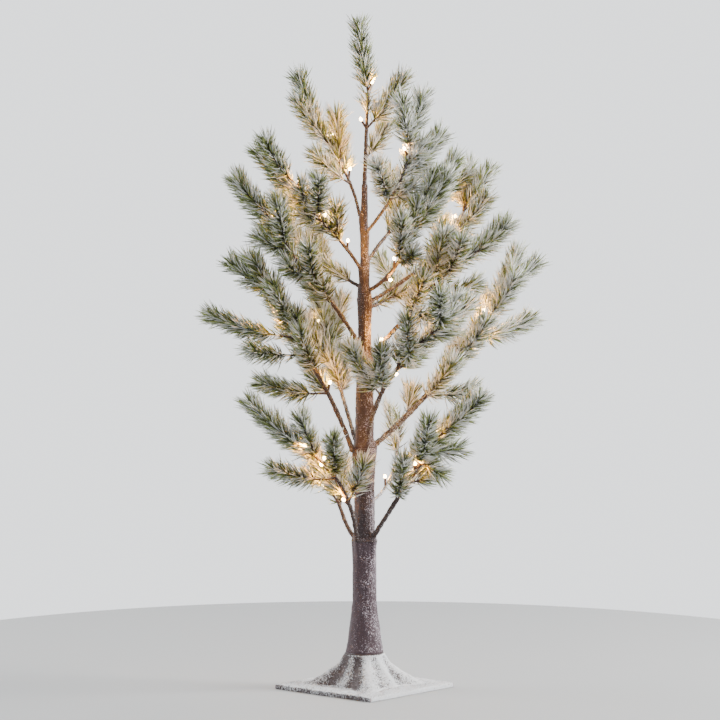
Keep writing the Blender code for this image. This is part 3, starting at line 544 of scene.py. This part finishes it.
# degrees that needles lean off the twig: at a spray's foot and tip, on bare wood, and their spread
FOOT_LEAN, TIP_LEAN, WOOD_LEAN, LEAN_SPREAD = 58, 42, 54, 11
CLUMP_EVERY = 9             # needles for each snow clump
SPIKE = 12                  # points of one needle


def branch_line(root_z, root_azimuth, heading, rises, length):
    """Centre line that starts at the root eye and climbs with its rise read along three values."""
    middle = (np.arange(WIRE_POINTS) + 0.5) / WIRE_POINTS
    step = unit(heading, np.interp(middle, (0, 0.5, 1), rises)) * (length / WIRE_POINTS)
    return root_of(root_z, root_azimuth) + np.vstack([np.zeros(3), np.cumsum(step, 0)])


def tube(points, radii, ref, sides):
    """A closed tube: rings of the given radii square to the path, turned by the ref direction."""
    t = np.gradient(points, axis=0)
    t /= np.linalg.norm(t, axis=1, keepdims=True)
    u = ref - t * (t @ ref)[:, None]
    u /= np.linalg.norm(u, axis=1, keepdims=True)
    v = np.cross(t, u)
    a = np.arange(sides) * 2 * math.pi / sides
    radii = np.broadcast_to(np.asarray(radii).reshape(len(points), -1), (len(points), sides))
    around = np.cos(a)[:, None] * u[:, None, :] + np.sin(a)[:, None] * v[:, None, :]
    verts = points[:, None, :] + radii[..., None] * around
    ring = np.arange(sides)[None, :]
    return (verts.reshape(-1, 3), around.reshape(-1, 3),
            [strips(len(points), sides, True), ring[:, ::-1], ring + (len(points) - 1) * sides])


def bark_tube(points, thick, ref, sides, seed):
    """Tube of a taped twig: a spiral tape step, knuckles and grain on a tapering radius."""
    s = np.r_[0, np.cumsum(np.linalg.norm(np.diff(points, axis=0), axis=1))]
    a = np.arange(sides) / sides
    climb = (s[:, None] / TWIG_TAPE_PITCH + a[None, :]) % 1.0
    knuckle = lattice_noise(np.stack([s, s * 0 + seed, s * 0], 1), 0.012, seed)[:, None]
    grain = lattice_noise(np.stack([np.broadcast_to(s[:, None], climb.shape),
                                    np.broadcast_to(a * 0.012, climb.shape),
                                    np.full(climb.shape, seed * 0.1)], -1), 0.0016, seed)
    uneven = 1 + TWIG_STEP * (climb - 0.5) + TWIG_KNUCKLE * knuckle + TWIG_GRAIN * grain
    return tube(points, np.asarray(thick)[:, None] * uneven, ref, sides)


def needle_batch(roots, dirs, lean, lengths, rng):
    """Needles as bent three-sided spikes.

    Centre = root + length (dir s + bend lean s^2) for s from 0 to 1; the radius holds for
    two thirds of the length and then closes to a point.
    """
    s = NEEDLE_STATIONS
    width = NEEDLE_WIDTHS * NEEDLE_RADIUS
    centre = (roots[:, None] + lengths[:, None, None]
              * (dirs[:, None] * s[None, :, None]
                 + NEEDLE_BEND * lean[:, None] * (s**2)[None, :, None]))
    side = np.cross(dirs, rng.normal(size=dirs.shape))
    side /= np.linalg.norm(side, axis=1, keepdims=True)
    other = np.cross(dirs, side)
    a = np.arange(3) * 2 * math.pi / 3
    ring = np.cos(a)[:, None] * side[:, None, :] + np.sin(a)[:, None] * other[:, None, :]
    verts = centre[:, :, None, :] + width[None, :, None, None] * ring[:, None]
    first = (np.arange(len(roots)) * SPIKE)[:, None, None]
    quads = (first + strips(4, 3, True)[None]).reshape(-1, 4)
    ends = (first + np.array([[2, 1, 0], [9, 10, 11]])[None]).reshape(-1, 3)
    along = np.broadcast_to(s[None, :, None], verts.shape[:3])
    return verts.reshape(-1, 3), [quads, ends], along.reshape(-1)


def splay(axis, up, spin, angle):
    """Directions leaning off an axis by angle, at the given spin round it."""
    side = np.cross(axis, up)
    side /= np.linalg.norm(side, axis=-1, keepdims=True) + 1e-9
    other = np.cross(side, axis)
    out = np.cos(spin)[:, None] * side + np.sin(spin)[:, None] * other
    return axis * np.cos(angle)[:, None] + out * np.sin(angle)[:, None]


def tufted(path, count, start, end, rng, tip):
    """Needles along a path from start to end, gathered into tufts.

    Tufts sit a spacing apart; in each, needles crowd towards its foot. They lean out at the foot
    of the spray and close in at a tip.
    """
    s = np.r_[0, np.cumsum(np.linalg.norm(np.diff(path, axis=0), axis=1))]
    span = (end - start) * s[-1]
    tufts = max(1, int(round(span / TUFT_SPACING)))
    u = (rng.integers(0, tufts, count) + rng.random(count) ** 1.6) / tufts
    at = (start + (end - start) * u) * s[-1]
    roots = np.stack([np.interp(at, s, path[:, k]) for k in range(3)], 1)
    ahead = np.stack([np.interp(np.minimum(at + 0.003, s[-1]), s, path[:, k])
                      - np.interp(np.minimum(at + 0.003, s[-1]) - 0.003, s, path[:, k])
                      for k in range(3)], 1)
    ahead /= np.linalg.norm(ahead, axis=1, keepdims=True)
    lean = np.where(tip, FOOT_LEAN - (FOOT_LEAN - TIP_LEAN) * u, WOOD_LEAN)
    angle = np.radians(lean + rng.normal(0, LEAN_SPREAD, count))
    dirs = splay(ahead, np.array([0.05, 0.11, 1.0]), rng.random(count) * 2 * math.pi, np.abs(angle))
    lengths = NEEDLE_LENGTH * (0.70 + 0.36 * rng.random(count)) * np.where(tip, 1.0 - 0.12 * u, 0.85)
    return needle_batch(roots, dirs, ahead, lengths, rng)


def flock_clumps(centres, sizes, rng):
    """Snow clumps as eight-sided lumps with uneven corners."""
    corner = np.array([(1, 0, 0), (-1, 0, 0), (0, 1, 0), (0, -1, 0), (0, 0, 1), (0, 0, -1.0)])
    shape = corner[None] * (0.7 + 0.6 * rng.random((len(centres), 6, 1)))
    verts = centres[:, None] + shape * sizes[:, None, None]
    tris = np.array([(0, 2, 4), (2, 1, 4), (1, 3, 4), (3, 0, 4), (2, 0, 5), (1, 2, 5), (3, 1, 5),
                     (0, 3, 5)])
    return verts.reshape(-1, 3), [(np.arange(len(centres)) * 6)[:, None, None] + tris[None]]


class Bundle:
    """Gathers batches of points and faces into one mesh, with the values that go with them."""

    def __init__(self):
        self.verts, self.faces, self.values, self.count = [], [], {}, 0

    def add(self, verts, faces, **values):
        self.verts.append(verts)
        self.faces += [f.reshape(-1, f.shape[-1]) + self.count for f in faces]
        self.count += len(verts)
        for key, value in values.items():
            self.values.setdefault(key, []).append(np.broadcast_to(value, len(verts)))

    def build(self, name):
        values = {k: np.concatenate(v) for k, v in self.values.items()}
        return surface(name, np.vstack(self.verts), self.faces, **values)


def needle_material(name, core, green, frost):
    """Needle film: dark at the foot, dusty green along it, paler by the flock at its tip.

    Colour = core to green by the position along the needle, varied by its shade value, then to
    frost by the frost value with a fine broken edge; part of that value is painted light from the
    right.
    """
    mat, tree, shader = plain_material(name, green, 0.8)
    along = wire_up(tree, "ShaderNodeAttribute", {"attribute_name": "along"}).outputs["Fac"]
    shade = wire_up(tree, "ShaderNodeAttribute", {"attribute_name": "shade"}).outputs["Fac"]
    snow = wire_up(tree, "ShaderNodeAttribute", {"attribute_name": "frost"}).outputs["Fac"]
    place = wire_up(tree, "ShaderNodeTexCoord").outputs["Object"]
    grain = wire_up(tree, "ShaderNodeTexNoise", Vector=place, Scale=1400.0, Detail=2.0).outputs["Fac"]
    foot = wire_up(tree, "ShaderNodeMix", {"data_type": 'RGBA'},
                   **{"0": along, "6": (*core, 1), "7": (*green, 1)}).outputs[2]
    dusty = wire_up(tree, "ShaderNodeHueSaturation", Color=foot, Saturation=1.0,
                    Value=wire_up(tree, "ShaderNodeMapRange", Value=shade, To_Min=0.35,
                                  To_Max=1.75).outputs[0]).outputs[0]
    broken = wire_up(tree, "ShaderNodeMath", {"operation": 'ADD'}, **{"0": snow, "1": grain}).outputs[0]
    mask = wire_up(tree, "ShaderNodeMapRange", {"interpolation_type": 'SMOOTHSTEP'}, Value=broken,
                   From_Min=0.72, From_Max=1.18).outputs[0]
    mixed = wire_up(tree, "ShaderNodeMix", {"data_type": 'RGBA'},
                    **{"0": mask, "6": dusty, "7": (*frost, 1)}).outputs[2]
    tree.links.new(mixed, shader.inputs["Base Color"])
    bump = wire_up(tree, "ShaderNodeBump", Strength=0.6, Distance=0.0002, Height=broken)
    tree.links.new(bump.outputs["Normal"], shader.inputs["Normal"])
    return mat


NEEDLES = needle_material("flocked_needles", (0.050, 0.056, 0.014), (0.270, 0.325, 0.105),
                          (0.90, 0.91, 0.89))
TWIG_BARK = flocked("flocked_twig_bark", (0.062, 0.034, 0.030), SNOW_WHITE, 0.0004, grain=1000.0)

# Fill sprays grow between the drawn ones, wherever the solid sprays of the frame have room.
REACHES = 8                 # straight lengths of a branch in the frame
FILL_EVERY, FILL_FROM = 0.045, 0.25     # branch length for each; station of the lowest
FILL_TURN = 50              # away from the branch, to its left and right
FILL_LENGTHS, FILL_BARE = (0.085, 0.065, 0.045), 0.15   # the longest that has room is taken
TRIMS = (1.0, 0.85, 0.70)   # a drawn spray is cut back where it has no room
SPRAY_R, CLAD_WIRE_R = 0.0080, 0.0026
ROOM, NEIGHBOUR = 0.0008, 0.12          # least gap; pieces further apart than this can't meet
FORK_Z, POLE_TOP = 0.202, 0.690


def gap(a, b):
    """Distance between two round-ended straight pieces, from points spread along both."""
    t = np.linspace(0, 1, 25)[:, None]
    along_a, along_b = a[0] + (a[1] - a[0]) * t, b[0] + (b[1] - b[0]) * t
    return np.min(np.linalg.norm(along_a[:, None] - along_b, axis=2)) - a[2] - b[2]


def has_room(pieces, others):
    """True if every piece keeps the gap ROOM from every neighbour."""
    near = [(p, q) for p in pieces for q in others
            if np.linalg.norm(p[0] + p[1] - q[0] - q[1]) / 2 < NEIGHBOUR]
    return all(gap(p, q) > ROOM for p, q in near)


def run_of(points, radius):
    """A line of points as straight pieces of one radius."""
    return [(p, q, radius) for p, q in zip(points[:-1], points[1:])]


def spray_pieces(line, station, azimuth, rise, length, bare):
    """Stalk, core and tip of a spray, each a straight piece with a radius."""
    k = station * REACHES
    lo = min(int(k), REACHES - 1)
    start = line[lo] + (line[lo + 1] - line[lo]) * (k - lo)
    d = unit(azimuth, rise)
    body = length * (1 - bare)
    waist = start + d * (length * bare + 0.006)
    shoulder = start + d * (length - body * 0.29)
    return [(start + d * 0.004, waist, 0.0014), (waist, shoulder, SPRAY_R),
            (shoulder, start + d * length, SPRAY_R * 0.75)]


def grown_sprays(lines, lead):
    """Sprays of every branch: the drawn ones, then fill sprays left and right where there's room."""
    wires = {name: run_of(line, CLAD_WIRE_R) for name, line in lines.items()}
    heights = np.linspace(FORK_Z, POLE_TOP, 49)
    fixed = [piece for z0, z1 in zip(heights[:-1], heights[1:])
             for piece in run_of([np.array([0, 0, z0]), np.array([0, 0, z1])], trunk_radius(z0))]
    fixed += run_of(lead, CLAD_WIRE_R)
    for row in LEADER_SPRAYS:
        fixed += spray_pieces(lead, *row)
    taken = {name: [] for name in lines}
    grown = {name: [] for name in lines}

    def try_row(name, row):
        pieces = spray_pieces(lines[name], *row)
        others = fixed + wires[name][:1]
        for other in lines:
            if other != name:
                others = others + wires[other] + taken[other]
        if not has_room(pieces, others):
            return False
        taken[name] += pieces
        grown[name].append(row)
        return True

    for name, branch in BRANCHES.items():
        for station, azimuth, rise, length, bare in branch[5]:
            any(try_row(name, (station, azimuth, rise, length * trim, bare)) for trim in TRIMS)
    for name, (_, _, heading, rises, length, _) in BRANCHES.items():
        count = int(length / FILL_EVERY)
        for i in range(count):
            station = FILL_FROM + (1 - FILL_FROM) * (i + 0.5) / count
            rise = 20 + float(np.interp(station, (0, 0.5, 1), rises)) / 2
            turns = (FILL_TURN, -FILL_TURN) if i % 2 else (-FILL_TURN, FILL_TURN)
            any(try_row(name, (station, heading + turn, rise, size, FILL_BARE))
                for size in FILL_LENGTHS for turn in turns)
    return grown


def dress(name, line, heading, frost, fullness, thick, sprays, clad, seed, body):
    """Bark, twigs, needles and flock of one branch, riding on its body.

    A spray's needles and a tip tuft are gathered first, then sparse needles on its stalk and the
    stretches where needles clothe the branch itself.
    """
    rng = np.random.default_rng(seed)
    side = unit(heading + 90, 0)
    t = np.linspace(0, 1, len(line))
    radii = thick[0] + (thick[1] - thick[0]) * t
    radii[-3:] *= (0.95, 0.8, 0.45)
    bark, spray_mesh = Bundle(), Bundle()
    verts, outward, faces = bark_tube(line, radii, side, WIRE_SIDES, seed)
    # painted light: the bark's flock is thicker on the right, where the window light falls; the upward
    # part is snow
    lit_side_and_top = 0.6 * outward[:, 0] + 0.6 * outward[:, 2] - 0.2 * outward[:, 1]
    bark.add(verts, faces, cover=np.clip(0.02 + 0.50 * frost + 0.22 * lit_side_and_top, 0, 1))
    paths = []
    for station, azimuth, rise, length, bare in sprays:
        full = fullness * float(np.clip(0.6 + 7 * length, 0.7, 1.4))
        d = unit(azimuth, rise)
        lift = np.array([0, 0, 1.0]) - d * d[2]
        start = np.array([np.interp(station, t, line[:, k]) for k in range(3)])
        s = np.linspace(0, 1, TWIG_POINTS)
        reach = length - 0.010
        wobble = unit(azimuth + 90, 0) * (rng.random() - 0.5) * 0.05
        path = (start + d * (s * reach)[:, None]
                + (lift * -0.05 + wobble) * (np.sin(math.pi * s) * length)[:, None])
        twig = np.interp(s, (0, 0.15, 1), (thick[1] * 0.95, 0.0015, 0.0008))
        v, o, f = bark_tube(path, twig, unit(azimuth + 90, 0), 8, seed + len(paths) + 1)
        bark.add(v, f, cover=np.clip(0.10 + 0.5 * frost + 0.25 * o[:, 2], 0, 1))
        count = int(NEEDLES_PER_METRE * reach * (1 - bare) * full)
        paths.append((path, count, bare, 1.0, True))
        paths.append((path, int(TIP_TUFT * full), 0.90, 1.0, True))
        paths.append((path, int(STALK_NEEDLES * reach * bare), 0.15, max(bare, 0.16), False))
    for start, end, count in clad:
        paths.append((line, count, start, end, False))
    for path, count, start, end, tip in paths:
        if count < 2:
            continue
        v, f, along = tufted(path, count, start, end, rng, tip)
        shade = np.repeat(rng.random(len(v) // SPIKE), SPIKE)
        each = np.repeat(rng.random(len(v) // SPIKE), SPIKE)
        # the 0.25 x term is painted light: needle tips are frosted paler towards the lit right side
        # (+x)
        snow = np.clip(0.05 + 0.36 * frost + 0.34 * along + 1.00 * (each - 0.5) + 0.25 * v[:, 0],
                       0, 1)
        spray_mesh.add(v, f, along=along, shade=shade, frost=snow)
        if tip:
            k = max(3, count // CLUMP_EVERY)
            at = rng.random(k) * (end - start) + start
            spot = np.stack([np.interp(at, np.linspace(0, 1, len(path)), path[:, j])
                             for j in range(3)], 1) + rng.normal(0, 0.0013, (k, 3))
            v, f = flock_clumps(spot, 0.0005 + 0.0011 * rng.random(k) * (0.5 + frost), rng)
            bark.add(v, f, cover=0.9)
    wood = bark.build(f"{name}_bark")
    wood.data.materials.append(TWIG_BARK)
    spray_obj = spray_mesh.build(f"{name}_sprays")
    spray_obj.data.materials.append(NEEDLES)
    for obj, node, finish in ((wood, f"{name}_wire", "branch_wire"),
                              (spray_obj, f"{name}_needles", "needles")):
        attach(obj, body)
        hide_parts(node)


# the leader's line and sprays, which the fill sprays keep clear of
LEADER_LINE = (np.array([0, 0, 0.6860])
               + unit(0, 88) * np.linspace(0, 0.1285, WIRE_POINTS + 1)[:, None])
LEADER_SPRAYS = [(1.00, 180, 82, 0.096, 0.05), (0.60, 350, 54, 0.092, 0.2),
                 (0.28, 25, 54, 0.064, 0.25)]
LINES = {name: branch_line(*row[:5]) for name, row in BRANCHES.items()}
EVERY = WIRE_POINTS // REACHES          # points between two bends of the wire in the frame
GROWN = grown_sprays({name: line[::EVERY] for name, line in LINES.items()}, LEADER_LINE[::EVERY])
for number, (name, (frost, fullness, thick, _, clad)) in enumerate(DRESSING.items()):
    dress(name, LINES[name], BRANCHES[name][2], frost, fullness, thick, GROWN[name], clad,
          100 + 10 * number, name)

# ---- leader: the thin top of the trunk ----
# One straight wire stands out of the last wrap and carries the topmost sprays.
dress("leader", LEADER_LINE, 0, 0.40, 1.0, (0.0030, 0.0018), LEADER_SPRAYS, [(0.75, 1.0, 40)],
      700, "trunk")

# ---- lights: warm micro bulbs on short stubs ----
# Each light is a dark heat-shrunk stub, soldered to thin leads under the bark tape, with a tiny
# warm white bulb at its end. The bulbs are lit and warm the needles close to them.
STUB_LENGTH, STUB_R = 0.0125, 0.00160
BULB_R, BULB_LENGTH = 0.0021, 0.0056
BULB_SEAT = 0.0006          # bulb sunk in its stub
BULB_WATTS, BULB_GLOW = 0.20, (1.0, 0.43, 0.05)
STUB_PROFILE = np.array([1.1, 1.0, 1.0, 1.0, 1.0, 0.9])

glow, _, glow_shader = plain_material("lit_bulb", (1.0, 0.80, 0.50), 0.25)
glow_shader.inputs["Emission Color"].default_value = (1.0, 0.66, 0.30, 1)
glow_shader.inputs["Emission Strength"].default_value = 60.0
stub_finish, stub_tree, stub_shader = plain_material("stub_sleeve", (0.045, 0.022, 0.016), 0.55)
stub_grain = wire_up(stub_tree, "ShaderNodeTexNoise", Scale=700.0,
                     Vector=wire_up(stub_tree, "ShaderNodeTexCoord").outputs["Object"]).outputs["Fac"]
stub_ramp = wire_up(stub_tree, "ShaderNodeMix", {"data_type": 'RGBA'},
                    **{"0": stub_grain, "6": (0.020, 0.012, 0.010, 1), "7": (0.12, 0.05, 0.03, 1)})
stub_tree.links.new(stub_ramp.outputs[2], stub_shader.inputs["Base Color"])


def bulb_lamp(body, place):
    """The warm light of one bulb, riding with it."""
    lamp = bpy.data.lights.new(f"{body}_glow", 'POINT')
    lamp.energy = BULB_WATTS
    lamp.color = BULB_GLOW
    lamp.shadow_soft_size = 0.002
    lit = bpy.data.objects.new(f"{body}_glow", lamp)
    lit.location = place
    bpy.context.scene.collection.objects.link(lit)
    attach(lit, body)


def light_string(body, line, lights):
    """Stubs and bulbs of one branch; each leans out of the line along its own direction.

    A bulb is an ellipsoid: radius = bulb radius x root of (1 - (2s - 1)^2) along its length.
    """
    stubs, bulbs = Bundle(), Bundle()
    for station, azimuth, rise in lights:
        at = int(round(station * (len(line) - 1)))
        ahead = line[min(at + 1, len(line) - 1)] - line[max(at - 1, 0)]
        d = 0.75 * ahead / np.linalg.norm(ahead) + 0.65 * unit(azimuth, rise)
        d /= np.linalg.norm(d)
        base = line[at]
        ref = unit(azimuth + 90, 0)
        v, _, f = tube(base + d * np.linspace(0, STUB_LENGTH, len(STUB_PROFILE))[:, None],
                       STUB_PROFILE * STUB_R, ref, 10)
        stubs.add(v, f)
        s = np.linspace(0.04, 0.98, 9)
        v, _, f = tube(base + d * (STUB_LENGTH - BULB_SEAT + s * BULB_LENGTH)[:, None],
                       BULB_R * np.sqrt(1 - (2 * s - 1) ** 2), ref, 12)
        bulbs.add(v, f)
        bulb_lamp(body, base + d * (STUB_LENGTH + BULB_LENGTH + 0.002))
    for bundle, word, finish in ((stubs, "stubs", stub_finish), (bulbs, "bulbs", glow)):
        obj = bundle.build(f"{body}_light_{word}")
        obj.data.materials.append(finish)
        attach(obj, body)


for name, (_, _, _, lights, _) in DRESSING.items():
    if lights:
        light_string(name, LINES[name], lights)
light_string("trunk", LEADER_LINE, [(0.98, 0, 40), (0.60, 180, 20)])

# ---- electrics and fasteners inside the base ----
# Plain shop parts: moulded black covers, plated steel, a green board, two cells and a brass jack.
# The plug, the jack and the steel pole belong with them.
# finish: colour, roughness, metallic, grain per metre, relief and the nodes that have it
FINISHES = {
    "black_moulding": ((0.030, 0.030, 0.032), 0.50, 0.0, 900.0, 0.00006,
                       ("base_cover", "battery_door", "battery_holder", "switch_body")),
    "pale_moulding": ((0.42, 0.36, 0.38), 0.55, 0.0, 700.0, 0.00008, ("base_shell", "switch_slider")),
    "plated_steel": ((0.58, 0.58, 0.57), 0.35, 1.0, 300.0, 0.00002,
                     ("cover_screw_1", "cover_screw_2", "left_contact", "right_contact",
                      "ballast_plate", "trunk_pole")),
    "board_mask": ((0.03, 0.16, 0.07), 0.40, 0.0, 500.0, 0.00003, ("timer_board",)),
    "cell_label": ((0.09, 0.09, 0.10), 0.35, 0.2, 250.0, 0.00002,
                   ("battery_cell_inner", "battery_cell_outer")),
    "brass": ((0.70, 0.52, 0.22), 0.30, 1.0, 400.0, 0.00002, ("power_jack", "power_plug")),
}


def shop_finish(name, colour, rough, metal, scale, relief):
    """A Principled material whose tone, gloss and bump follow one fine grain."""
    mat, tree, shader = plain_material(name, colour, rough)
    shader.inputs["Metallic"].default_value = metal
    place = wire_up(tree, "ShaderNodeTexCoord").outputs["Object"]
    fine = wire_up(tree, "ShaderNodeTexNoise", Vector=place, Scale=scale, Detail=3.0).outputs["Fac"]
    varied = wire_up(tree, "ShaderNodeMapRange", Value=fine, To_Min=rough - 0.08, To_Max=rough + 0.10)
    darker, lighter = [(*[c * share for c in colour], 1) for share in (0.85, 1.1)]
    toned = wire_up(tree, "ShaderNodeMix", {"data_type": 'RGBA'},
                    **{"0": fine, "6": darker, "7": lighter})
    bump = wire_up(tree, "ShaderNodeBump", Strength=0.5, Distance=relief, Height=fine)
    tree.links.new(toned.outputs[2], shader.inputs["Base Color"])
    tree.links.new(varied.outputs[0], shader.inputs["Roughness"])
    tree.links.new(bump.outputs["Normal"], shader.inputs["Normal"])
    return mat


for finish, (*look, nodes) in FINISHES.items():
    mat = shop_finish(finish, *look)
    for node in nodes:
        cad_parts[node].data.materials.clear()
        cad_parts[node].data.materials.append(mat)
